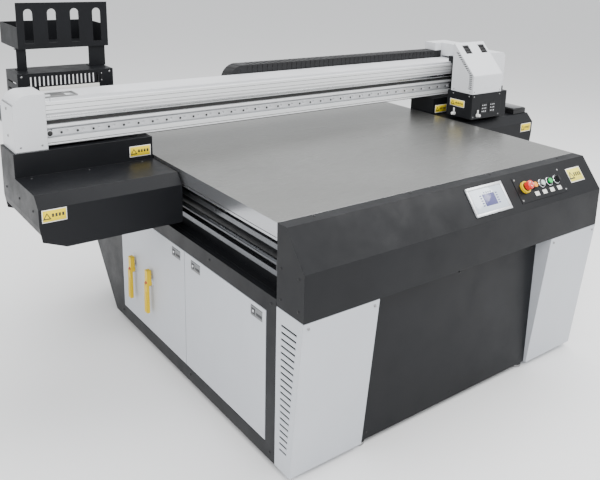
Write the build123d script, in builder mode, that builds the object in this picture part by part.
"""Flatbed UV printer: a wide fixed table with a gantry that travels over it.

Millimetres, +Z up, +X to the right along the gantry, +Y to the rear.
The origin is on the floor, under the middle of the base.
"""
from build123d import *
from math import hypot
import os

os.makedirs("parts", exist_ok=True)

# ---------------------------------------------------------------- driving sizes
base_w = 1567.0           # width of the base and of the table
base_d = 1850.0           # depth of the base, hood to rear panel
table_z = 915.0           # height of the table's top face
overhang = 538.0          # how far each gantry box reaches past the base
gantry_from_front = 788.0  # hood face to the front of the gantry boxes, at rest

gap = 2.0                 # between panels that sit side by side
run_gap = 0.5             # between parts that slide or turn on one another
sheet = 3.0               # folded steel sheet
wall = 4.0                # moulded and cast covers

left = -base_w / 2
right = base_w / 2
front = -base_d / 2
back = base_d / 2

# ---------------------------------------------------------------- base sizes
floor_gap = 25.0          # panels end this far above the floor
hood_bottom = 628.0
hood_face = 163.0         # height of the vertical face
hood_slope_d = 102.0      # depth of the sloping control face
hood_d = 152.0            # whole depth of the hood
corner_w = 313.0          # width of each light corner panel
corner_lean = 60.0        # how far its foot stands back
center_recess = 72.0      # center panel behind the hood face
table_t = 62.0            # edge height of the table
table_skin = 12.0
table_end = back - 20.0
ledge_z = 650.0           # top of the side frames
side_t = 25.0
door_z0 = 83.0
door_z1 = 587.0
door_y0 = front + 212.0
door_split = front + 807.0
door_y1 = front + 1441.0
door_t = 18.0
door_gap = 3.0
hinge_in_x = 5.0          # hinge pin behind the door's outer face
hinge_in_y = 8.5          # and inside the opening, so that the door swings clear of the frame
hinge_pin_r = 3.0
hinge_pin_l = 8.0
rear_foot_y = front + 1537.0
rear_knee_y = front + 1760.0
rear_knee_z = 303.0
rear_wall_z = 415.0
tube = 60.0               # frame tube
rail_z0 = 105.0           # underside of the frame's bottom rails
beam_in = 60.0            # side beams stand this far inside the table edge
beam_w = 80.0
beam_wall = 6.0
beam_end = back - 150.0

# linear guides along the table
rail_w = 20.0
rail_h = 18.0
rail_low_z = 705.0
rail_high_z = 800.0
screw_z = 752.0
screw_r = 10.0
screw_in = 36.0           # screw axis inside the table edge
block_w = 50.0            # bearing block across its rail
block_l = 60.0            # and along it
block_reach = 31.0        # block thickness, off the bracket
motor = 60.0

# ---------------------------------------------------------------- gantry sizes
box_clear = 12.0          # gantry box to the side of the base
box_z0 = 716.0
box_nose_z = 866.0
box_top_z = 907.0
box_nose_d = 40.0
box_bevel_w = 88.0
box_bevel_z = 748.0
box_crease_z = 802.0
box_crease_in = 8.0
tower_y = 258.0           # tower front behind the box front
tower_top = 997.0
tower_d = 171.0
cap_w = 115.0
cap_inset = 10.0
cap_y = 265.0             # cap front behind the box front
cap_d = 153.0
cap_top = 1207.0
cap_round = 60.0
beam_y = 277.0            # beam front behind the box front
beam_d = 135.0
beam_z0 = 1009.0
beam_top = 1172.0
beam_end_in = 18.0        # beam end inside the box's outer side
face_step = 7.0           # lower face of the beam behind its top face
slot_z0 = 1085.0
slot_z1 = 1104.0
slot_d = 18.0
x_rail_z = 1054.0
x_rail_w = 24.0
x_rail_h = 15.0
x_rail_pitch = 60.0
x_recess_w = 40.0
x_recess_d = 20.0
top_rail_w = 15.0
top_rail_h = 11.0
cover_t = 4.0
cover_back = 197.0        # rear edge of the beam cover behind the beam front
belt_w = 12.0
belt_t = 2.0
pulley_r = 45.0
pulley_w = 14.0
x_motor = 50.0

# cable chain behind the beam
chain_w = 78.0
chain_h = 50.0
chain_r = 75.0            # outside radius of the bend
chain_y = 200.0           # its front side behind the beam front
chain_z = 1140.0          # axis of the bend
chain_wall = 3.0
bend_x = left + 540.0     # axis of the bend at rest
chain_lower_l = 975.0
chain_fixed_l = 985.0
tray_t = 4.0
tray_lip = 3.0

# ---------------------------------------------------------------- carriage sizes
car_right = left + 1962.0 # right side of the carriage and its lamp, parked
car_w = 220.0
car_y = 6.0               # front of the carriage behind the box front
car_d = 150.0
car_z0 = 1060.0
car_knee_z = 1155.0
car_top = 1305.0
skirt_z0 = 930.0
skirt_d = 170.0
lamp_w = 142.0
car_x = car_right - lamp_w - car_w
side_skirt_in = 2.0       # narrow skirt at the cover's right, behind the main skirt's front
side_skirt_w = 50.0
lamp_y = 106.0
lamp_top = 1245.0
arm_z0 = 1187.0
arm_z1 = 1257.0
arm_x = 240.0             # chain arm's left side, right of the carriage's left
arm_w = 110.0
arm_root = 20.0           # the arm starts this far inside the cover's right side
arm_lap = 50.0            # the arm's top reaches this far over the chain
plate_t = 12.0

# ---------------------------------------------------------------- ink rack sizes
rack_x = left - 420.0
rack_w = 383.0
rack_y = 577.0            # cabinet front behind the box front
rack_d = 160.0
rack_top = 1228.0
shelf_t = 12.0
holder_w = 367.0
holder_x = left - 386.0
holder_y = 662.0
holder_d = 250.0
holder_z0 = 1313.0
holder_wall_z = 1401.0
holder_top = 1498.0
bottle_slot_w = 34.0
bottle_slot_h = 138.0
post_w = 38.0
wide_post_w = 70.0

# ---------------------------------------------------------------- controls and feet
control_x = left + 1060.0
control_w = 302.0
control_h = 110.0
control_s = 28.0          # its lower edge above the slope's lower edge
control_t = 2.0
button_row_s = 88.0
button_pitch = 48.7
button_x = left + 1168.0  # first of the small buttons
estop_x = left + 1110.0
estop_r = 17.5
estop_collar_r = 19.0
estop_collar_t = 12.0
estop_head_t = 24.0
button_r = 11.0
knob_r = 13.0
press = 5.0
screen_x = left + 790.0
screen_w = 202.0
screen_h = 116.0
screen_s = 24.0
wheel_r = 25.0
wheel_w = 22.0
wheel_lift = 3.0
fork_trail = 20.0
caster_h = 75.0
caster_x = 378.0          # front casters, either side of the middle
foot_x = 452.0            # front feet beside them
outrigger_in = 30.0       # the plate they hang from, inside the caster's axis
outrigger_out = 14.0      # and outside the foot's
foot_r = 26.0
stem_r = 8.0

# worked out from the sizes above
gantry_y = front + gantry_from_front
box_x0 = left - overhang
box_x1 = left - box_clear
beam_front = gantry_y + beam_y
beam_x = -box_x0 - beam_end_in
cap_in_x = -box_x0 - cap_inset - cap_w
pulley_x = cap_in_x + pulley_r + 10
chain_y0 = beam_front + chain_y
hood_top = table_z
slope_z = hood_bottom + hood_face
slope_l = hypot(hood_slope_d, hood_top - slope_z)


# ---------------------------------------------------------------- helpers
def block(x0, x1, y0, y1, z0, z1, mode=Mode.ADD):
    """Box between two corners."""
    with Locations(((x0 + x1) / 2, (y0 + y1) / 2, (z0 + z1) / 2)):
        Box(x1 - x0, y1 - y0, z1 - z0, mode=mode)


def prism_x(points, x0, x1, inset=0.0, mode=Mode.ADD):
    """Solid from x0 to x1 whose side outline joins the (y, z) points."""
    with BuildSketch(Plane.YZ.offset(x0)) as outline:
        with BuildLine():
            Polyline(*points, close=True)
        make_face()
        if inset:
            offset(amount=-inset, kind=Kind.INTERSECTION, mode=Mode.REPLACE)
    extrude(outline.sketch, amount=x1 - x0, mode=mode)


def prism_y(points, y0, y1, mode=Mode.ADD):
    """Solid from y0 to y1 whose front outline joins the (x, z) points."""
    with BuildSketch(Plane.XZ.offset(-y0)) as outline:
        with BuildLine():
            Polyline(*points, close=True)
        make_face()
    extrude(outline.sketch, amount=-(y1 - y0), mode=mode)


def rod(start, direction, radius, length, mode=Mode.ADD):
    """Cylinder from a start point along a direction."""
    with BuildSketch(Plane(origin=start, z_dir=direction)) as disc:
        Circle(radius)
    extrude(disc.sketch, amount=length, mode=mode)


def save(piece, label):
    """Name a finished piece and write it."""
    piece.part.label = label
    export_step(piece.part, f"parts/{label}.step")


def mirror_to_right(piece):
    """The same piece on the other side of the base."""
    with BuildPart() as mirrored:
        add(mirror(piece.part, about=Plane.YZ))
    return mirrored


# ---------------------------------------------------------------- welded base frame
front_post_y = front + hood_d + gap
rear_post_y = rear_foot_y - tube - 40.0
post_in = side_t + gap
rear_frame_y = beam_end - tube
rear_wheel_y = rear_post_y - 60.0
wheel_z = wheel_r + wheel_lift
axle_r = 5.0
axle_gap = 0.1

with BuildPart() as base_frame:
    for side in (-1, 1):
        x_out = side * (right - post_in)
        x_in = x_out - side * tube
        x0, x1 = sorted((x_out, x_in))
        for post_y in (front_post_y, door_split - tube / 2, rear_post_y):
            block(x0, x1, post_y, post_y + tube, rail_z0, ledge_z)
        block(x0, x1, front_post_y, rear_post_y + tube, rail_z0, rail_z0 + tube)
        block(x0, x1, front_post_y, rear_frame_y + tube, ledge_z - tube, ledge_z)
        y0, y1 = front_post_y, beam_end
        b0, b1 = sorted((side * (right - beam_in), side * (right - beam_in - beam_w)))
        block(b0, b1, y0, y1, ledge_z, table_z - table_t)
        block(b0 + beam_wall, b1 - beam_wall, y0 - 1, y1 + 1, ledge_z + beam_wall,
              table_z - table_t - beam_wall, mode=Mode.SUBTRACT)
    inner = right - post_in - tube
    for cross_y in (front_post_y, door_split - tube / 2, rear_post_y):
        block(-inner, inner, cross_y, cross_y + tube, rail_z0, rail_z0 + tube)
    for cross_y in (front_post_y, rear_frame_y):
        block(-inner, inner, cross_y, cross_y + tube, ledge_z - tube, ledge_z)
    under = right - beam_in - beam_w
    for cross_y in (front_post_y + tube, 0.0, beam_end - 2 * tube):
        block(-under, under, cross_y, cross_y + tube, ledge_z + 30, ledge_z + 30 + tube)
    for side in (-1, 1):
        fork_x = side * (right - post_in - tube / 2)
        for cheek in (-1, 1):
            cheek_x = fork_x + cheek * (wheel_w / 2 + 4)
            block(cheek_x - 2, cheek_x + 2, rear_wheel_y - 16, rear_wheel_y + 16, wheel_z - 12, rail_z0)
        rod((fork_x - wheel_w / 2 - 6, rear_wheel_y, wheel_z), (1, 0, 0), axle_r, wheel_w + 12)
        o0, o1 = sorted((side * (caster_x - outrigger_in), side * (foot_x + outrigger_out)))
        block(o0, o1, front + center_recess + sheet + gap, front_post_y, caster_h, rail_z0 + tube)
        block(o0, o1, front_post_y, front_post_y + tube, caster_h, rail_z0)
save(base_frame, "base_frame")

# ---------------------------------------------------------------- side frames and doors
side_outline = [
    (front + hood_d + gap, floor_gap),
    (rear_foot_y, floor_gap),
    (rear_knee_y, rear_knee_z),
    (back - sheet - gap, rear_wall_z),
    (back - sheet - gap, ledge_z),
    (front + hood_d + gap, ledge_z),
]
hinge_y = door_y1 - hinge_in_y
hinge_x = left + hinge_in_x

with BuildPart() as side_frame_left:
    prism_x(side_outline, left, left + side_t)
    block(left - 1, left + side_t + 1, door_y0, door_y1, door_z0, door_z1, mode=Mode.SUBTRACT)
    for pin_z in (door_z0 - hinge_pin_l - 1, door_z1):
        rod((hinge_x, hinge_y, pin_z), (0, 0, 1), hinge_pin_r + run_gap, hinge_pin_l + 1, mode=Mode.SUBTRACT)
save(side_frame_left, "side_frame_left")

with BuildPart() as side_panel_right:
    prism_x(side_outline, right - side_t, right)
    block(right - side_t - 1, right - sheet, door_y0, door_y1, door_z0, door_z1, mode=Mode.SUBTRACT)
    for group_y in (door_y0 + 330.0, door_y1 - 330.0):
        for row in range(12):
            block(right - 5, right + 1, group_y - 90, group_y + 90, 400 + 12 * row, 404 + 12 * row,
                  mode=Mode.SUBTRACT)
save(side_panel_right, "side_panel_right")


def door_tray(y0, y1):
    """Folded door: a skin with a return flange round it."""
    block(left, left + door_t, y0, y1, door_z0 + door_gap, door_z1 - door_gap)
    block(left + sheet, left + door_t + 1, y0 + sheet, y1 - sheet, door_z0 + door_gap + sheet,
          door_z1 - door_gap - sheet, mode=Mode.SUBTRACT)


latch_z = 548.0
latch_h = 36.0
latch_w = 74.0
latch_t = 14.0
latch_swing = 3.0         # room above a latch for its top edge to turn
latch_ys = {
    "latch_rear_door": front + 880.0,
    "latch_front_door_rear": front + 715.0,
    "latch_front_door_front": front + 274.0,
}


def latch_seat(y):
    """Well behind a flush latch, open to the outside."""
    block(left, left + latch_t + sheet, y - latch_w / 2 - sheet, y + latch_w / 2 + sheet,
          latch_z - latch_h / 2 - sheet, latch_z + latch_h / 2 + latch_swing + sheet)
    block(left - 1, left + latch_t, y - latch_w / 2 - run_gap, y + latch_w / 2 + run_gap,
          latch_z - latch_h / 2 - run_gap, latch_z + latch_h / 2 + latch_swing, mode=Mode.SUBTRACT)


with BuildPart() as front_door:
    door_tray(door_y0 + door_gap, door_split - gap)
    latch_seat(latch_ys["latch_front_door_rear"])
    latch_seat(latch_ys["latch_front_door_front"])
save(front_door, "front_door")

valve_ys = {"valve_lever_rear": front + 1296.0, "valve_lever_front": front + 1122.0}
valve_z = 330.0
valve_flange_r = 20.0
valve_flange_t = 8.0
valve_stem_r = 6.0

with BuildPart() as rear_door:
    door_tray(door_split + gap, door_y1 - door_gap)
    latch_seat(latch_ys["latch_rear_door"])
    block(left + sheet, left + door_t, hinge_y - 8, door_y1 - door_gap, door_z0 + door_gap,
          door_z1 - door_gap)
    for pin_z in (door_z0 + door_gap - hinge_pin_l - 1, door_z1 - door_gap):
        rod((hinge_x, hinge_y, pin_z), (0, 0, 1), hinge_pin_r, hinge_pin_l + 1)
    for valve_y in valve_ys.values():
        rod((left, valve_y, valve_z), (-1, 0, 0), valve_flange_r, valve_flange_t)
        rod((left + sheet, valve_y, valve_z), (-1, 0, 0), valve_stem_r + run_gap, 20, mode=Mode.SUBTRACT)
save(rear_door, "rear_door")

for label, latch_y in latch_ys.items():
    with BuildPart() as latch:
        block(left, left + 5, latch_y - latch_w / 2, latch_y + latch_w / 2, latch_z - latch_h / 2,
              latch_z + latch_h / 2)
        rod((left + 5, latch_y - latch_w / 2, latch_z + latch_h / 2 - 5), (0, 1, 0), 4, latch_w)
        fillet(latch.edges().filter_by(Axis.X), radius=3)
    save(latch, label)

lever_l = 138.0
lever_w = 26.0
lever_t = 12.0
lever_head = 58.0

for label, valve_y in valve_ys.items():
    with BuildPart() as lever:
        x_on = left - valve_flange_t - run_gap
        rod((left + sheet, valve_y, valve_z), (-1, 0, 0), valve_stem_r, sheet + valve_flange_t + run_gap + 1)
        rod((x_on, valve_y, valve_z), (-1, 0, 0), valve_flange_r - 3, 18)
        block(x_on - 18, x_on, valve_y - lever_w / 2, valve_y + lever_w / 2, valve_z, valve_z + lever_head)
        block(x_on - 10 - lever_t, x_on - 10, valve_y - lever_w / 2, valve_y + lever_w / 2,
              valve_z - lever_l, valve_z)
    save(lever, label)

# ---------------------------------------------------------------- rear, corner and center panels
rear_outline = [
    (back, table_z - table_t - gap),
    (back, rear_wall_z),
    (rear_knee_y + sheet, rear_knee_z),
    (rear_foot_y + sheet, floor_gap),
    (rear_foot_y, floor_gap),
    (rear_knee_y, rear_knee_z),
    (back - sheet, rear_wall_z),
    (back - sheet, table_z - table_t - gap),
]
with BuildPart() as rear_panel:
    prism_x(rear_outline, left, right)
    for group_x in (-420.0, 420.0):
        for row in range(10):
            block(group_x - 110, group_x + 110, back - sheet - 1, back + 1, 470 + 14 * row, 475 + 14 * row,
                  mode=Mode.SUBTRACT)
save(rear_panel, "rear_panel")

corner_outline = [
    (front + corner_lean, floor_gap),
    (front + hood_d, floor_gap),
    (front + hood_d, hood_bottom - gap),
    (front, hood_bottom - gap),
]


def lean_at(z):
    """Where the leaning front of a corner panel is at height z."""
    return front + corner_lean * (hood_bottom - z) / (hood_bottom - floor_gap)


slot_rows = 20
slot_pitch = 24.5
slot_top = 571.0
slot_half = 4.0           # half of a louvre slot's height
slot_front_in = 30.0      # slots start this far behind the panel's leaning front
slot_back_in = 28.0
with BuildPart() as corner_panel_left:
    prism_x(corner_outline, left, left + corner_w)
    prism_x(corner_outline, left + sheet, left + corner_w - sheet, inset=sheet, mode=Mode.SUBTRACT)
    block(left + sheet, left + corner_w - sheet, front + hood_d - 2 * sheet, front + hood_d + 1,
          floor_gap - 1, hood_bottom, mode=Mode.SUBTRACT)
    for row in range(slot_rows):
        slot_z = slot_top - slot_pitch * row
        block(left - 1, left + sheet + 1, lean_at(slot_z) + slot_front_in, front + hood_d - slot_back_in,
              slot_z - slot_half, slot_z + slot_half, mode=Mode.SUBTRACT)
save(corner_panel_left, "corner_panel_left")
corner_panel_right = mirror_to_right(corner_panel_left)
save(corner_panel_right, "corner_panel_right")

with BuildPart() as center_panel:
    half = base_w / 2 - corner_w - gap
    block(-half, half, front + center_recess, front + center_recess + sheet, floor_gap, hood_bottom + 60)
    block(-half, half, front + center_recess, front + hood_d, hood_bottom + 60 - sheet, hood_bottom + 60)
save(center_panel, "center_panel")

# ---------------------------------------------------------------- hood and controls
hood_outline = [
    (front, hood_bottom),
    (front, slope_z),
    (front + hood_slope_d, hood_top),
    (front + hood_d, hood_top),
    (front + hood_d, hood_bottom),
]
slope = Plane(origin=(0, front, slope_z), x_dir=(1, 0, 0),
              z_dir=(0, -(hood_top - slope_z) / slope_l, hood_slope_d / slope_l))


def on_slope(x, s, lift=0.0):
    """Plane on the sloping face, s up the slope from its lower edge."""
    return Plane(origin=slope.from_local_coords(Vector(x, s, lift)), x_dir=(1, 0, 0), z_dir=slope.z_dir)


small_buttons = ("orange_button", "clear_button", "green_button")
selector_x = button_x + 3 * button_pitch
screen_cx = screen_x + screen_w / 2
screen_cs = screen_s + screen_h / 2
control_cx = control_x + control_w / 2
control_cs = control_s + control_h / 2
window = 8.0              # hood cut-outs stay this far inside what covers them
screen_depth = 35.0

with BuildPart() as front_hood:
    prism_x(hood_outline, left, right)
    prism_x(hood_outline, left + sheet, right - sheet, inset=sheet, mode=Mode.SUBTRACT)
    block(left + sheet, right - sheet, front + sheet, front + hood_d + 1,
          hood_bottom - 1, hood_bottom + 60 + gap, mode=Mode.SUBTRACT)
    for cx, cs, w, h in ((screen_cx, screen_cs, screen_w, screen_h),
                         (control_cx, control_cs, control_w, control_h)):
        with BuildSketch(on_slope(cx, cs, 1)):
            Rectangle(w - 2 * window, h - 2 * window)
        extrude(amount=-(sheet + 2), mode=Mode.SUBTRACT)
save(front_hood, "front_hood")

shaft_r = 7.0
shaft_l = 20.0            # button shaft below its head
collar_t = 4.0            # collar round a small button
bushing_l = 24.0          # and its bushing below the plate
with BuildPart() as control_plate:
    with BuildSketch(on_slope(control_cx, control_cs)):
        Rectangle(control_w, control_h)
    extrude(amount=control_t)
    collars = [(estop_x, estop_collar_r, estop_collar_t)]
    collars += [(button_x + i * button_pitch, button_r + 5, collar_t) for i in range(4)]
    for x, collar_r, collar_h in collars:
        with BuildSketch(on_slope(x, button_row_s, control_t)):
            Circle(collar_r)
        extrude(amount=collar_h)
        with BuildSketch(on_slope(x, button_row_s, control_t)):
            Circle(button_r + 1)
        extrude(amount=-bushing_l)
        with BuildSketch(on_slope(x, button_row_s, control_t + collar_h + 1)):
            Circle(shaft_r + run_gap)
        extrude(amount=-(bushing_l + collar_h + 2), mode=Mode.SUBTRACT)
save(control_plate, "control_plate")

with BuildPart() as touch_screen:
    with BuildSketch(on_slope(screen_cx, screen_cs)):
        RectangleRounded(screen_w, screen_h, 6)
    extrude(amount=4)
    with BuildSketch(on_slope(screen_cx, screen_cs)):
        Rectangle(screen_w - 2 * window - 2 * gap, screen_h - 2 * window - 2 * gap)
    extrude(amount=-screen_depth)
save(touch_screen, "touch_screen")

estop_face = control_t + estop_collar_t + press + 1
with BuildPart() as estop_button:
    with BuildSketch(on_slope(estop_x, button_row_s, estop_face)):
        Circle(estop_r)
    extrude(amount=estop_head_t)
    fillet(estop_button.edges().group_by(Axis(slope.origin, slope.z_dir))[-1], radius=estop_r / 3)
    with BuildSketch(on_slope(estop_x, button_row_s, estop_face)):
        Circle(shaft_r)
    extrude(amount=-(shaft_l + estop_collar_t))
save(estop_button, "estop_button")

face = control_t + collar_t

button_t = 4.0
for i, label in enumerate(small_buttons):
    with BuildPart() as button:
        with BuildSketch(on_slope(button_x + i * button_pitch, button_row_s, face + press + 1)):
            Circle(button_r)
        extrude(amount=button_t)
        with BuildSketch(on_slope(button_x + i * button_pitch, button_row_s, face + press + 1)):
            Circle(shaft_r)
        extrude(amount=-shaft_l)
    save(button, label)

knob_base_t = 6.0
knob_grip_w = 8.0
knob_grip_h = 18.0
with BuildPart() as selector_knob:
    with BuildSketch(on_slope(selector_x, button_row_s, face + run_gap)):
        Circle(knob_r)
    extrude(amount=knob_base_t)
    with BuildSketch(on_slope(selector_x, button_row_s, face + run_gap)):
        Rectangle(knob_grip_w, 2 * knob_r - 2)
    extrude(amount=knob_grip_h)
    with BuildSketch(on_slope(selector_x, button_row_s, face + run_gap)):
        Circle(shaft_r)
    extrude(amount=-knob_grip_h)
save(selector_knob, "selector_knob")

# ---------------------------------------------------------------- table
table_front = front + hood_d + gap
chamber_gap = 1.0
with BuildPart() as work_table:
    block(left, right, table_front, table_end, table_z - table_t, table_z)
    block(left + table_skin, right - table_skin, table_front + table_skin, table_end - table_skin,
          table_z - table_t - 1, table_z - table_skin, mode=Mode.SUBTRACT)
save(work_table, "work_table")

chamber_x = right - table_skin - chamber_gap
chamber_y0 = table_front + table_skin + chamber_gap
chamber_y1 = table_end - table_skin - chamber_gap
chamber_cells = 4
chamber_rib = 20.0
with BuildPart() as vacuum_chamber:
    block(-chamber_x, chamber_x, chamber_y0, chamber_y1, table_z - table_t, table_z - table_skin)
    cell_w = (2 * chamber_x - chamber_rib) / chamber_cells
    cell_d = (chamber_y1 - chamber_y0 - chamber_rib) / chamber_cells
    with Locations((0, (chamber_y0 + chamber_y1) / 2, table_z - table_skin)):
        with GridLocations(cell_w, cell_d, chamber_cells, chamber_cells):
            Box(cell_w - chamber_rib, cell_d - chamber_rib, 2 * (table_t - table_skin - 6),
                mode=Mode.SUBTRACT)
save(vacuum_chamber, "vacuum_chamber")

# ---------------------------------------------------------------- guides and screws along the table
rail_y0 = front_post_y + 8
rail_y1 = beam_end - 8
with BuildPart() as y_rails:
    for side in (-1, 1):
        x0, x1 = sorted((side * (right - beam_in), side * (right - beam_in + rail_h)))
        for rail_z in (rail_low_z, rail_high_z):
            block(x0, x1, rail_y0, rail_y1, rail_z - rail_w / 2, rail_z + rail_w / 2)
save(y_rails, "y_rails")

bearing_l = 20.0
bearing_h = 18.0
screw_y0 = rail_y0 + 2
screw_y1 = beam_end + 8
with BuildPart() as y_motors:
    for side in (-1, 1):
        x = side * (right - screw_in)
        inner_face = side * (right - beam_in)
        x0, x1 = sorted((x + side * bearing_h, inner_face))
        for bearing_y in (screw_y0, rail_y1 - bearing_l):
            block(x0, x1, bearing_y, bearing_y + bearing_l, screw_z - bearing_h, screw_z + bearing_h)
        block(x - motor / 2, x + motor / 2, beam_end + 12, back - 20,
              screw_z - motor / 2, screw_z + motor / 2)
        plate0, plate1 = sorted((x + side * bearing_h, side * (right - beam_in - beam_w + 10)))
        block(plate0, plate1, beam_end, beam_end + 12, screw_z - motor / 2, screw_z + motor / 2)
        rod((x, screw_y0 - 1, screw_z), (0, 1, 0), screw_r + run_gap, screw_y1 - screw_y0 + 3,
            mode=Mode.SUBTRACT)
save(y_motors, "y_motors")

with BuildPart() as y_screw_left:
    rod((left + screw_in, screw_y0, screw_z), (0, 1, 0), screw_r, screw_y1 - screw_y0)
save(y_screw_left, "y_screw_left")
y_screw_right = mirror_to_right(y_screw_left)
save(y_screw_right, "y_screw_right")

# ---------------------------------------------------------------- inside the base
shelf_z = rail_z0 + tube  # both rest on the front and middle cross tubes
shelf_y0 = front_post_y + 20.0
shelf_y1 = door_split
blower_shelf_t = 6.0
blower_shelf_w = 400.0
blower_x = 280.0
blower_y = front_post_y + tube + 210.0
blower_z = shelf_z + 150.0
blower_r = 120.0
blower_w = 90.0           # width of its scroll
blower_motor_r = 84.0
blower_motor_l = 180.0
blower_foot_w = 180.0
blower_foot_d = 120.0
blower_foot_h = 40.0
blower_neck_w = 160.0
pipe_w = 60.0             # square pipe up to the vacuum chamber
scroll_x = blower_x - 130.0
pipe_x = scroll_x + blower_w / 2
with BuildPart() as vacuum_blower:
    block(blower_x - blower_shelf_w / 2, blower_x + blower_shelf_w / 2, shelf_y0, shelf_y1, shelf_z,
          shelf_z + blower_shelf_t)
    block(blower_x - blower_foot_w / 2, blower_x + blower_foot_w / 2, blower_y - blower_foot_d / 2,
          blower_y + blower_foot_d / 2, shelf_z + blower_shelf_t, shelf_z + blower_foot_h)
    rod((scroll_x, blower_y, blower_z), (1, 0, 0), blower_r, blower_w)
    rod((scroll_x + blower_w, blower_y, blower_z), (1, 0, 0), blower_motor_r, blower_motor_l)
    block(blower_x - blower_neck_w / 2, blower_x + blower_neck_w / 2, blower_y - pipe_w / 2,
          blower_y + pipe_w / 2, shelf_z + blower_foot_h / 2, blower_z)
    block(pipe_x - pipe_w / 2, pipe_x + pipe_w / 2, blower_y - pipe_w / 2, blower_y + pipe_w / 2, blower_z,
          table_z - table_t)
save(vacuum_blower, "vacuum_blower")

case_x0 = -560.0
case_x1 = -140.0
case_h = 330.0
case_plate_in = 40.0
card_count = 4
card_pitch = 80.0
card_w = 45.0
card_h = 142.0
card_in = 60.0            # first card from the case's left side, and both ends of each
case_plate_t = 5.0
with BuildPart() as electronics_box:
    block(case_x0, case_x1, shelf_y0, shelf_y1, shelf_z, shelf_z + case_h)
    block(case_x0 + sheet, case_x1 - sheet, shelf_y0 + sheet, shelf_y1 - sheet, shelf_z + sheet,
          shelf_z + case_h + 1, mode=Mode.SUBTRACT)
    plate_top = shelf_z + sheet + case_plate_t
    block(case_x0 + case_plate_in, case_x1 - case_plate_in, shelf_y0 + case_plate_in,
          shelf_y1 - case_plate_in, shelf_z + sheet, plate_top)
    for card in range(card_count):
        card_x = case_x0 + card_in + card_pitch * card
        block(card_x, card_x + card_w, shelf_y0 + card_in, shelf_y1 - card_in, plate_top, plate_top + card_h)
save(electronics_box, "electronics_box")

# ---------------------------------------------------------------- feet and casters
foot_in = post_in + tube / 2
front_foot_y = front + center_recess + sheet + gap + foot_r
foot_tops = [(sx * (right - foot_in), y, rail_z0) for sx in (-1, 1)
             for y in (front_post_y + tube / 2, rear_post_y + tube / 2)]
foot_tops += [(sx * foot_x, front_foot_y, caster_h) for sx in (-1, 1)]
nut_t = 10.0
with BuildPart() as levelling_feet:
    for x, y, top in foot_tops:
        rod((x, y, 0), (0, 0, 1), foot_r, 12)
        rod((x, y, 12), (0, 0, 1), stem_r, top - 12)
        with BuildSketch(Plane.XY.offset(top - nut_t)):
            with Locations((x, y)):
                RegularPolygon(2 * stem_r, 6)
        extrude(amount=nut_t)
save(levelling_feet, "levelling_feet")

caster_y = front + center_recess + sheet + gap + fork_trail + wheel_r + 3
fork_w = wheel_w / 2 + 5
plate_z = wheel_z + wheel_r + 4
for side, name in ((-1, "left"), (1, "right")):
    x = side * caster_x
    wheel_y = caster_y - fork_trail
    with BuildPart() as caster_fork:
        rod((x, caster_y, plate_z), (0, 0, 1), 20, caster_h - run_gap - plate_z)
        block(x - fork_w, x + fork_w, wheel_y - 14, caster_y + 18, plate_z, plate_z + 4)
        for cheek in (-1, 1):
            c0, c1 = sorted((x + cheek * (wheel_w / 2 + 2), x + cheek * fork_w))
            block(c0, c1, wheel_y - 14, wheel_y + 14, wheel_z - 12, plate_z)
        rod((x - fork_w, wheel_y, wheel_z), (1, 0, 0), axle_r, 2 * fork_w)
    save(caster_fork, f"caster_fork_{name}")


def wheel(x, y):
    """Caster wheel with a bore for its axle."""
    rod((x - wheel_w / 2, y, wheel_z), (1, 0, 0), wheel_r, wheel_w)
    rod((x - wheel_w / 2 - 1, y, wheel_z), (1, 0, 0), axle_r + axle_gap, wheel_w + 2, mode=Mode.SUBTRACT)


for side, name in ((-1, "left"), (1, "right")):
    with BuildPart() as front_wheel:
        wheel(side * caster_x, caster_y - fork_trail)
    save(front_wheel, f"front_wheel_{name}")
    with BuildPart() as rear_wheel:
        wheel(side * (right - foot_in), rear_wheel_y)
    save(rear_wheel, f"rear_wheel_{name}")

# ---------------------------------------------------------------- gantry boxes
box_outline = [
    (gantry_y, box_z0),
    (gantry_y, box_nose_z),
    (gantry_y + box_nose_d, box_top_z),
    (gantry_y + tower_y, box_top_z),
    (gantry_y + tower_y, tower_top),
    (gantry_y + tower_y + tower_d, tower_top),
    (gantry_y + tower_y + tower_d, box_z0),
]
box_back = gantry_y + tower_y + tower_d
bevel = [
    (box_x0 - 1, box_crease_z),
    (box_x0, box_crease_z),
    (box_x0 + box_crease_in, box_bevel_z),
    (box_x0 + box_bevel_w, box_z0),
    (box_x0 + box_bevel_w, box_z0 - 1),
    (box_x0 - 1, box_z0 - 1),
]


def gantry_box():
    """Folded box with a tower at its rear, open underneath."""
    prism_x(box_outline, box_x0, box_x1)
    prism_x(box_outline, box_x0 + wall, box_x1 - wall, inset=wall, mode=Mode.SUBTRACT)
    prism_y(bevel, gantry_y - 1, box_back + 1, mode=Mode.SUBTRACT)
    block(box_x0 + box_bevel_w, box_x1 - wall, gantry_y + wall, box_back - wall,
          box_z0 - 1, box_z0 + 2 * wall, mode=Mode.SUBTRACT)


with BuildPart() as gantry_box_right:
    gantry_box()
gantry_box_right = mirror_to_right(gantry_box_right)
save(gantry_box_right, "gantry_box_right")

rack_front = gantry_y + rack_y
with BuildPart() as gantry_box_left:
    gantry_box()
    block(rack_x, rack_x + rack_w, box_back, rack_front + rack_d, tower_top - shelf_t, tower_top)
    for rib_x in (rack_x, rack_x + rack_w - 8):
        rib_top = tower_top - shelf_t
        prism_x([(box_back, rib_top), (rack_front + rack_d, rib_top), (box_back, 860)], rib_x, rib_x + 8)
save(gantry_box_left, "gantry_box_left")

# ---------------------------------------------------------------- y carriages: bracket, blocks and nut
bracket_y0 = gantry_y + tower_y + 8
bracket_y1 = box_back - 8
bracket_x1 = left + 15
nut_h = 20.0


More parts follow.
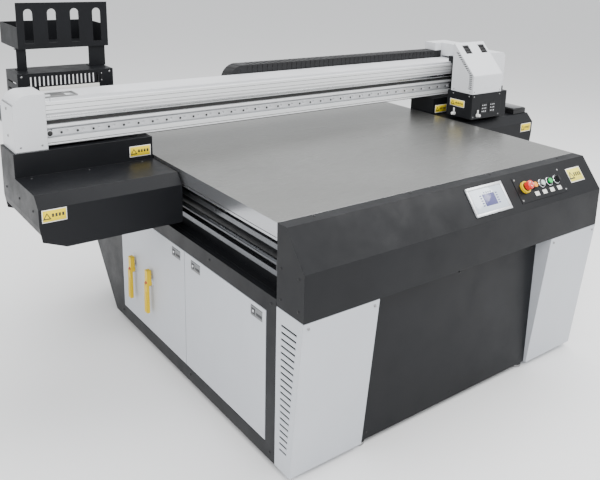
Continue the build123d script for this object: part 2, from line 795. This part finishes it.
def y_carriage():
    """Bracket off the gantry box, with four bearing blocks and the screw nut."""
    block(box_x1, bracket_x1, bracket_y0, bracket_y1, ledge_z + 15, table_z - table_t - 12)
    for block_y in (bracket_y0 + 4, bracket_y1 - 4 - block_l):
        for rail_z in (rail_low_z, rail_high_z):
            block(bracket_x1, bracket_x1 + block_reach, block_y, block_y + block_l, rail_z - block_w / 2,
                  rail_z + block_w / 2)
    nut_y = (bracket_y0 + bracket_y1) / 2
    block(bracket_x1, left + screw_in + nut_h, nut_y - 25, nut_y + 25, screw_z - nut_h, screw_z + nut_h)
    rod((left + screw_in, bracket_y0 - 1, screw_z), (0, 1, 0), screw_r + run_gap, 400, mode=Mode.SUBTRACT)
    for rail_z in (rail_low_z, rail_high_z):
        channel = rail_w / 2 + run_gap
        block(left + beam_in - rail_h - run_gap, left + beam_in, bracket_y0 - 1, bracket_y1 + 1,
              rail_z - channel, rail_z + channel, mode=Mode.SUBTRACT)


with BuildPart() as y_carriages:
    y_carriage()
    mirror(about=Plane.YZ)
save(y_carriages, "y_carriages")

# ---------------------------------------------------------------- beam
low_face = beam_front + face_step
x_recess = (x_rail_z - x_recess_w / 2, x_rail_z + x_recess_w / 2)
beam_outline = [
    (beam_front, beam_top),
    (beam_front, 1131.0),
    (low_face, 1122.0),
    (low_face, slot_z1),
    (low_face + slot_d, slot_z1),
    (low_face + slot_d, slot_z0),
    (low_face, slot_z0),
    (low_face, x_recess[1]),
    (low_face + x_recess_d, x_recess[1]),
    (low_face + x_recess_d, x_recess[0]),
    (low_face, x_recess[0]),
    (low_face, beam_z0),
    (beam_front + beam_d, beam_z0),
    (beam_front + beam_d, beam_top),
]
beam_back = beam_front + beam_d
belt_y = low_face + 7.0
belt_z = (slot_z0 + slot_z1) / 2
pulley_y = belt_y + pulley_r
motor_top = belt_z - pulley_w / 2 - 6


def x_motor_block(mode=Mode.ADD):
    """Body of the carriage motor, under the left pulley; also its pocket in the beam."""
    block(-pulley_x - x_motor / 2, -pulley_x + x_motor / 2, pulley_y - x_motor / 2, pulley_y + x_motor / 2,
          beam_z0 + 8, motor_top, mode=mode)


with BuildPart() as beam:
    prism_x(beam_outline, -beam_x, beam_x)
    block(-beam_x - 1, beam_x + 1, low_face + slot_d + 8, beam_back - 8, beam_z0 + 8, beam_top - 8,
          mode=Mode.SUBTRACT)
    for side in (-1, 1):
        p0, p1 = sorted((side * beam_x, side * (beam_x - 90)))
        block(p0, p1, low_face + 4, beam_back - 4, tower_top, beam_z0)
        c0, c1 = sorted((side * (beam_x + 1), side * (pulley_x - pulley_r - 6)))
        block(c0, c1, low_face - 1, low_face + slot_d + 9, slot_z0, slot_z1, mode=Mode.SUBTRACT)
    x_motor_block(Mode.SUBTRACT)
save(beam, "beam")

top_rail_y = low_face + 2
cover_y0 = top_rail_y + top_rail_w + 10
cover_end = cap_in_x - gap
with BuildPart() as beam_cover:
    block(-cover_end, cover_end, cover_y0, beam_front + cover_back, beam_top, beam_top + cover_t)
    block(-cover_end, cover_end, beam_front + cover_back - sheet, beam_front + cover_back,
          beam_top - 20, beam_top)
    block(-cover_end + 20, -cover_end + 130, cover_y0 + 24, cover_y0 + 84,
          beam_top - 1, beam_top + cover_t + 1, mode=Mode.SUBTRACT)
save(beam_cover, "beam_cover")

x_rail_y = low_face + x_recess_d - x_rail_h
bumper_r = 12.0
bumper_x = cap_in_x - bumper_r - 1
x_rail_end = bumper_x - bumper_r
bolt_r = 5.5
first_bolt = 54.0         # from the rail's left end
with BuildPart() as x_rails:
    block(-x_rail_end, x_rail_end, x_rail_y, x_rail_y + x_rail_h, x_rail_z - x_rail_w / 2,
          x_rail_z + x_rail_w / 2)
    bolt_count = int((2 * x_rail_end - first_bolt - bolt_r) / x_rail_pitch) + 1
    bolt_plane = Plane(origin=(0, x_rail_y, x_rail_z), x_dir=(1, 0, 0), z_dir=(0, -1, 0))
    with BuildSketch(bolt_plane):
        with Locations([(-x_rail_end + first_bolt + i * x_rail_pitch, 0) for i in range(bolt_count)]):
            Circle(bolt_r)
    extrude(amount=-5, mode=Mode.SUBTRACT)
    block(-x_rail_end, x_rail_end, top_rail_y, top_rail_y + top_rail_w, beam_top, beam_top + top_rail_h)
    for side in (-1, 1):
        rod((side * bumper_x, low_face + x_recess_d, x_rail_z), (0, -1, 0), bumper_r, 26)
save(x_rails, "x_rails")

# end caps
cap_x0 = box_x0 + cap_inset
cap_front = gantry_y + cap_y
with BuildPart() as end_cap_left:
    block(cap_x0, cap_x0 + cap_w, cap_front, cap_front + cap_d, tower_top, cap_top)
    top_edges = end_cap_left.edges().filter_by(Axis.Y).group_by(Axis.Z)[-1]
    fillet(top_edges.sort_by(Axis.X)[0], radius=cap_round)
    block(cap_x0 + wall, cap_x0 + cap_w - wall, cap_front + wall, beam_back + 1, tower_top - 1,
          cap_top - cap_round, mode=Mode.SUBTRACT)
    block(cap_x0 + cap_round, cap_x0 + cap_w - wall, cap_front + wall, beam_back + 1, tower_top - 1,
          cap_top - wall, mode=Mode.SUBTRACT)
    block(cap_x0 + wall, cap_x0 + cap_w + 1, beam_front - 1, beam_back + 1, tower_top - 1, beam_top + 1,
          mode=Mode.SUBTRACT)
save(end_cap_left, "end_cap_left")
end_cap_right = mirror_to_right(end_cap_left)
save(end_cap_right, "end_cap_right")

# belt in the beam's slot, round a pulley at each end, and its motor
belt_r = pulley_r + run_gap
with BuildPart() as x_belt:
    with BuildSketch(Plane.XY.offset(belt_z - belt_w / 2)):
        with Locations((0, pulley_y)):
            SlotCenterToCenter(2 * pulley_x, 2 * (belt_r + belt_t))
            SlotCenterToCenter(2 * pulley_x, 2 * belt_r, mode=Mode.SUBTRACT)
    extrude(amount=belt_w)
save(x_belt, "x_belt")

with BuildPart() as x_drive_motor:
    x_motor_block()
save(x_drive_motor, "x_drive_motor")

shaft_hole_r = 6.0
for side, label in ((-1, "x_drive_pulley"), (1, "x_idler_pulley")):
    with BuildPart() as pulley:
        rod((side * pulley_x, pulley_y, belt_z - pulley_w / 2), (0, 0, 1), pulley_r, pulley_w)
        rod((side * pulley_x, pulley_y, motor_top + run_gap), (0, 0, 1), shaft_hole_r, 30)
    save(pulley, label)

# ---------------------------------------------------------------- cable chain and its tray
upper_z0 = chain_z + chain_r - chain_h
lower_z0 = chain_z - chain_r
chain_y1 = chain_y0 + chain_w
arm_left = car_x + arm_x
static_x0 = bend_x + 5.0
tray_end = beam_x - 20.0
cap_back = cap_front + cap_d


def hollow_run(x0, x1, grow, z0):
    """Length of chain: a rectangular tube along X, grown all round by a clearance."""
    block(x0, x1, chain_y0 - grow, chain_y1 + grow, z0 - grow, z0 + chain_h + grow)
    block(x0 - 1, x1 + 1, chain_y0 - grow + chain_wall, chain_y1 + grow - chain_wall, z0 - grow + chain_wall,
          z0 + chain_h + grow - chain_wall, mode=Mode.SUBTRACT)


run_clear = chain_wall + run_gap
tray_z = lower_z0 - run_clear - tray_t
with BuildPart() as chain_tray:
    block(-tray_end, tray_end, cap_back + gap, chain_y1 + run_clear + gap + tray_lip, tray_z, tray_z + tray_t)
    block(-cover_end, cover_end, beam_back, cap_back + gap, tray_z, tray_z + tray_t)
    block(-tray_end, tray_end, chain_y1 + run_clear + gap, chain_y1 + run_clear + gap + tray_lip, tray_z,
          tray_z + 60)
    block(-cover_end, cover_end, beam_back, beam_back + tray_lip, tray_z - 30, tray_z)
    hollow_run(static_x0, static_x0 + chain_fixed_l, run_clear, lower_z0)
save(chain_tray, "chain_tray")

with BuildPart() as chain_bend:
    hollow_run(bend_x, bend_x + chain_lower_l, 0, lower_z0)
    hollow_run(bend_x, bend_x + 20, 0, upper_z0)
    bend_plane = Plane(origin=(bend_x, chain_y1, chain_z), x_dir=(1, 0, 0), z_dir=(0, -1, 0))
    with BuildSketch(bend_plane):
        Circle(chain_r)
        Circle(chain_r - chain_h, mode=Mode.SUBTRACT)
        with Locations((chain_r, 0)):
            Rectangle(2 * chain_r, 4 * chain_r, mode=Mode.SUBTRACT)
    extrude(amount=chain_w)
save(chain_bend, "chain_bend")

with BuildPart() as chain_upper:
    block(bend_x + 20.5, arm_left, chain_y0, chain_y1, upper_z0, upper_z0 + chain_h)
save(chain_upper, "chain_upper")

# ---------------------------------------------------------------- ink rack
back_rim = 24.0           # rim round the cabinet's open back
vent_count = 18
vent_w = 6.0
vent_in = 50.0
vent_z0 = 14.0            # vents start and end this far under the top
vent_z1 = 52.0
side_vents = 6
side_vent_pitch = 30.0
side_vent_in = 25.0
with BuildPart() as ink_cabinet:
    block(rack_x, rack_x + rack_w, rack_front, rack_front + rack_d, tower_top, rack_top)
    block(rack_x + sheet, rack_x + rack_w - sheet, rack_front + sheet, rack_front + rack_d - sheet,
          tower_top - 1, rack_top - sheet, mode=Mode.SUBTRACT)
    block(rack_x + back_rim, rack_x + rack_w - back_rim, rack_front + rack_d - sheet - 1,
          rack_front + rack_d + 1, tower_top + back_rim, rack_top - back_rim / 2, mode=Mode.SUBTRACT)
    for i in range(vent_count):
        x = rack_x + vent_in + i * (rack_w - 2 * vent_in) / (vent_count - 1)
        block(x - vent_w / 2, x + vent_w / 2, rack_front - 1, rack_front + sheet + 1, rack_top - vent_z1,
              rack_top - vent_z0, mode=Mode.SUBTRACT)
    for i in range(side_vents):
        z = rack_top - 40 - side_vent_pitch * i
        for x in (rack_x, rack_x + rack_w - sheet):
            block(x - 1, x + sheet + 1, rack_front + side_vent_in, rack_front + rack_d - side_vent_in,
                  z - vent_w / 2, z + vent_w / 2, mode=Mode.SUBTRACT)
save(ink_cabinet, "ink_cabinet")

holder_front = gantry_y + holder_y
bottle_slots = 4
slot_sill = 22.0          # foot of a bottle slot above the holder's floor
post_y0 = holder_front + 12.0
post_flange = 33.0        # depth of the flange at each end of a post
post_outset = 6.0         # left post past the holder's left side
post_inset = 12.0         # right post inside its right side
with BuildPart() as bottle_holder:
    block(holder_x, holder_x + holder_w, holder_front, holder_front + sheet, holder_z0, holder_top)
    block(holder_x, holder_x + holder_w, holder_front, holder_front + holder_d, holder_z0, holder_z0 + sheet)
    for x in (holder_x, holder_x + holder_w - sheet):
        block(x, x + sheet, holder_front, holder_front + holder_d, holder_z0, holder_wall_z)
    block(holder_x, holder_x + holder_w, holder_front + holder_d - sheet, holder_front + holder_d, holder_z0,
          holder_wall_z)
    for i in range(bottle_slots):
        x = holder_x + (i + 0.5) * holder_w / bottle_slots
        slot_plane = Plane(origin=(x, holder_front, holder_z0 + slot_sill), x_dir=(1, 0, 0), z_dir=(0, -1, 0))
        with BuildSketch(slot_plane):
            with Locations((0, (bottle_slot_h - bottle_slot_w / 2) / 2)):
                Rectangle(bottle_slot_w, bottle_slot_h - bottle_slot_w / 2)
            with Locations((0, bottle_slot_h - bottle_slot_w / 2)):
                Circle(bottle_slot_w / 2)
        extrude(amount=-(sheet + 1), mode=Mode.SUBTRACT)
    posts = [(holder_x - post_outset, post_w), (holder_x + holder_w - wide_post_w - post_inset, wide_post_w)]
    for x, w in posts:
        block(x, x + w, post_y0, post_y0 + sheet, rack_top, holder_z0 + 1)
        block(x, x + w, post_y0, post_y0 + post_flange, rack_top, rack_top + sheet)
        block(x, x + w, post_y0, post_y0 + post_flange, holder_z0 - sheet, holder_z0)
save(bottle_holder, "bottle_holder")

# ---------------------------------------------------------------- carriage
car_x1 = car_x + car_w
car_front = gantry_y + car_y
car_back = car_front + car_d
plate_y1 = beam_front - 10
plate_y0 = plate_y1 - plate_t
lower_block = (x_rail_z - x_recess_w / 2 + 2, x_rail_z + x_recess_w / 2 - 2)
frame_top = beam_top + 40
frame_x0 = car_x + 112.0  # left end of the back plate, hidden behind the cover
slider_l = 80.0           # bearing block along its rail
slider_in = 12.0          # and inside the carriage's ends
slider_grip = 9.0         # how far the lower blocks reach over their rail
arm_plate_t = 12.0
arm_plate_in = 8.0
clamp_x = 195.0           # belt clamp from the carriage's left side
clamp_w = 50.0
clamp_h = 10.0
with BuildPart() as carriage_frame:
    block(frame_x0, car_x1 + lamp_w, plate_y0, plate_y1, lower_block[0], frame_top)
    for x in (frame_x0 + slider_in, car_x1 + lamp_w - slider_in - slider_l):
        block(x, x + slider_l, plate_y1, x_rail_y + slider_grip, lower_block[0], lower_block[1])
        block(x - 1, x + slider_l + 1, x_rail_y - run_gap, x_rail_y + slider_grip + 1,
              x_rail_z - x_rail_w / 2 - run_gap, x_rail_z + x_rail_w / 2 + run_gap, mode=Mode.SUBTRACT)
        block(x, x + slider_l, plate_y1, top_rail_y + top_rail_w + 5, beam_top + 3, frame_top)
        block(x - 1, x + slider_l + 1, top_rail_y - run_gap, top_rail_y + top_rail_w + run_gap, beam_top,
              beam_top + top_rail_h + run_gap, mode=Mode.SUBTRACT)
    block(car_x + clamp_x, car_x + clamp_x + clamp_w, plate_y1, belt_y - belt_t - 2 * run_gap,
          belt_z - clamp_h / 2, belt_z + clamp_h / 2)
    for x in (frame_x0, car_x1 - arm_plate_in - arm_plate_t):
        block(x, x + arm_plate_t, car_back + 1, plate_y0, car_z0 + 4, frame_top)
    block(car_x + arm_plate_in, car_x1 - arm_plate_in, car_front + arm_plate_t, car_back, car_z0 + 1,
          car_z0 + arm_plate_in + 1)
    block(frame_x0, car_x1 - arm_plate_in, car_back, plate_y0, car_z0 + 1, car_z0 + arm_plate_in + 1)
save(carriage_frame, "carriage_frame")

cover_outline = [
    (car_front, car_z0),
    (car_front, car_knee_z),
    (car_front + car_top - car_knee_z, car_top),
    (car_front + car_d + 1, car_top),
    (car_front + car_d + 1, car_z0),
]
fin_count = 18            # slots in the left side, along the front and the slope
fin_pitch = 10.0
fin_z0 = car_z0 + 24.0
fin_in = 11.0
fin_w = 5.0
fin_l = 22.0
hood_vent_xs = (65.0, 182.0)
hood_vent_s = 166.0       # up the slope
hood_vent_w = 46.0
hood_vent_h = 54.0
with BuildPart() as carriage_cover:
    prism_x(cover_outline, car_x, car_x1)
    fillet(carriage_cover.edges().filter_by(Axis.X).group_by(Axis.Y)[0].sort_by(Axis.Z)[-1:], radius=12)
    prism_x(cover_outline, car_x + wall, car_x1 - wall, inset=wall, mode=Mode.SUBTRACT)
    block(car_x + wall, car_x1 - wall, car_front + wall, car_front + car_d + 2, car_z0 - 1, car_z0 + 10,
          mode=Mode.SUBTRACT)
    for i in range(fin_count):
        z = fin_z0 + i * fin_pitch
        y = car_front + fin_in + max(0.0, z - car_knee_z)
        block(car_x - 1, car_x + wall + 1, y, y + fin_l, z, z + fin_w, mode=Mode.SUBTRACT)
    vent_plane = Plane(origin=(car_x, car_front, car_knee_z), x_dir=(1, 0, 0), z_dir=(0, -1, 1))
    with BuildSketch(vent_plane):
        with Locations(*[(x, hood_vent_s) for x in hood_vent_xs]):
            Rectangle(hood_vent_w, hood_vent_h)
    extrude(amount=-(wall + 2), mode=Mode.SUBTRACT)
save(carriage_cover, "carriage_cover")

skirt_back = car_front + skirt_d
lamp_front = car_front + lamp_y
with BuildPart() as carriage_skirt:
    block(car_x - 2, car_x1 + 2, car_front - 2, skirt_back, skirt_z0, car_z0)
    block(car_x + sheet, car_x1 - sheet, car_front + sheet, skirt_back - sheet, skirt_z0 - 1, car_z0 + 1,
          mode=Mode.SUBTRACT)
    block(car_x1 + 2, car_x1 + side_skirt_w, car_front + side_skirt_in, lamp_front + sheet, skirt_z0, car_z0)
    block(car_x1 + 2 + sheet, car_x1 + side_skirt_w - sheet, car_front + side_skirt_in + sheet,
          lamp_front + sheet, skirt_z0 - 1, car_z0 - sheet, mode=Mode.SUBTRACT)
    block(car_x1 + 2, car_x1 + lamp_w, lamp_front, skirt_back, skirt_z0, car_z0)
    block(car_x1 + 2 + sheet, car_x1 + lamp_w - sheet, lamp_front + sheet, skirt_back - sheet,
          skirt_z0 - 1, car_z0 + 1, mode=Mode.SUBTRACT)
save(carriage_skirt, "carriage_skirt")

head_count = 4
head_in = 22.0
head_pitch = 52.0
head_w = 34.0
head_y0 = car_front + 30.0
head_y1 = car_front + 146.0
head_h = 65.0
head_neck = 6.0           # the neck of a head is this much narrower each side
with BuildPart() as print_heads:
    for i in range(head_count):
        x = car_x + head_in + i * head_pitch
        head_top = skirt_z0 + 5 + head_h
        block(x, x + head_w, head_y0, head_y1, skirt_z0 + 5, head_top)
        block(x + head_neck, x + head_w - head_neck, head_y0 + 20, head_y1 - 20, head_top, car_z0 + 1)
save(print_heads, "print_heads")

lamp_x0 = car_x1 + gap
lamp_round = 30.0
lamp_core = 20.0          # the lamp itself stands this far inside its case
with BuildPart() as lamp_module:
    block(lamp_x0, car_x1 + lamp_w, lamp_front, plate_y0, car_z0, lamp_top)
    fillet(lamp_module.edges().filter_by(Axis.Y).group_by(Axis.Z)[-1].sort_by(Axis.X)[-1], radius=lamp_round)
    core_top = lamp_top - lamp_round - wall
    block(lamp_x0 + wall, car_x1 + lamp_w - wall, lamp_front + wall, plate_y0 - wall, car_z0 - 1, core_top,
          mode=Mode.SUBTRACT)
    block(lamp_x0 + lamp_core, car_x1 + lamp_w - lamp_core, lamp_front + lamp_core, skirt_back - sheet - 3,
          skirt_z0 + 8, core_top)
save(lamp_module, "lamp_module")

with BuildPart() as chain_arm:
    block(frame_x0, car_x1, car_back + gap, plate_y1, frame_top + sheet, arm_z1)
    block(car_x1 - arm_root, arm_left + arm_w, plate_y1, cover_y0 + 3, frame_top + sheet, arm_z1)
    block(arm_left, arm_left + arm_w, cover_y0 + 3, chain_y1 + 5, frame_top + sheet, arm_z1)
    block(arm_left - arm_lap, arm_left, chain_y0 - 1, chain_y1 + 5, frame_top + sheet, arm_z1)
    block(arm_left, arm_left + arm_w, cover_y0 + 3, chain_y1 + 5, arm_z0, frame_top + sheet)
    block(arm_left, arm_left + arm_w, chain_y0 - 1, chain_y1 + 5, upper_z0 - 4, arm_z0)
save(chain_arm, "chain_arm")
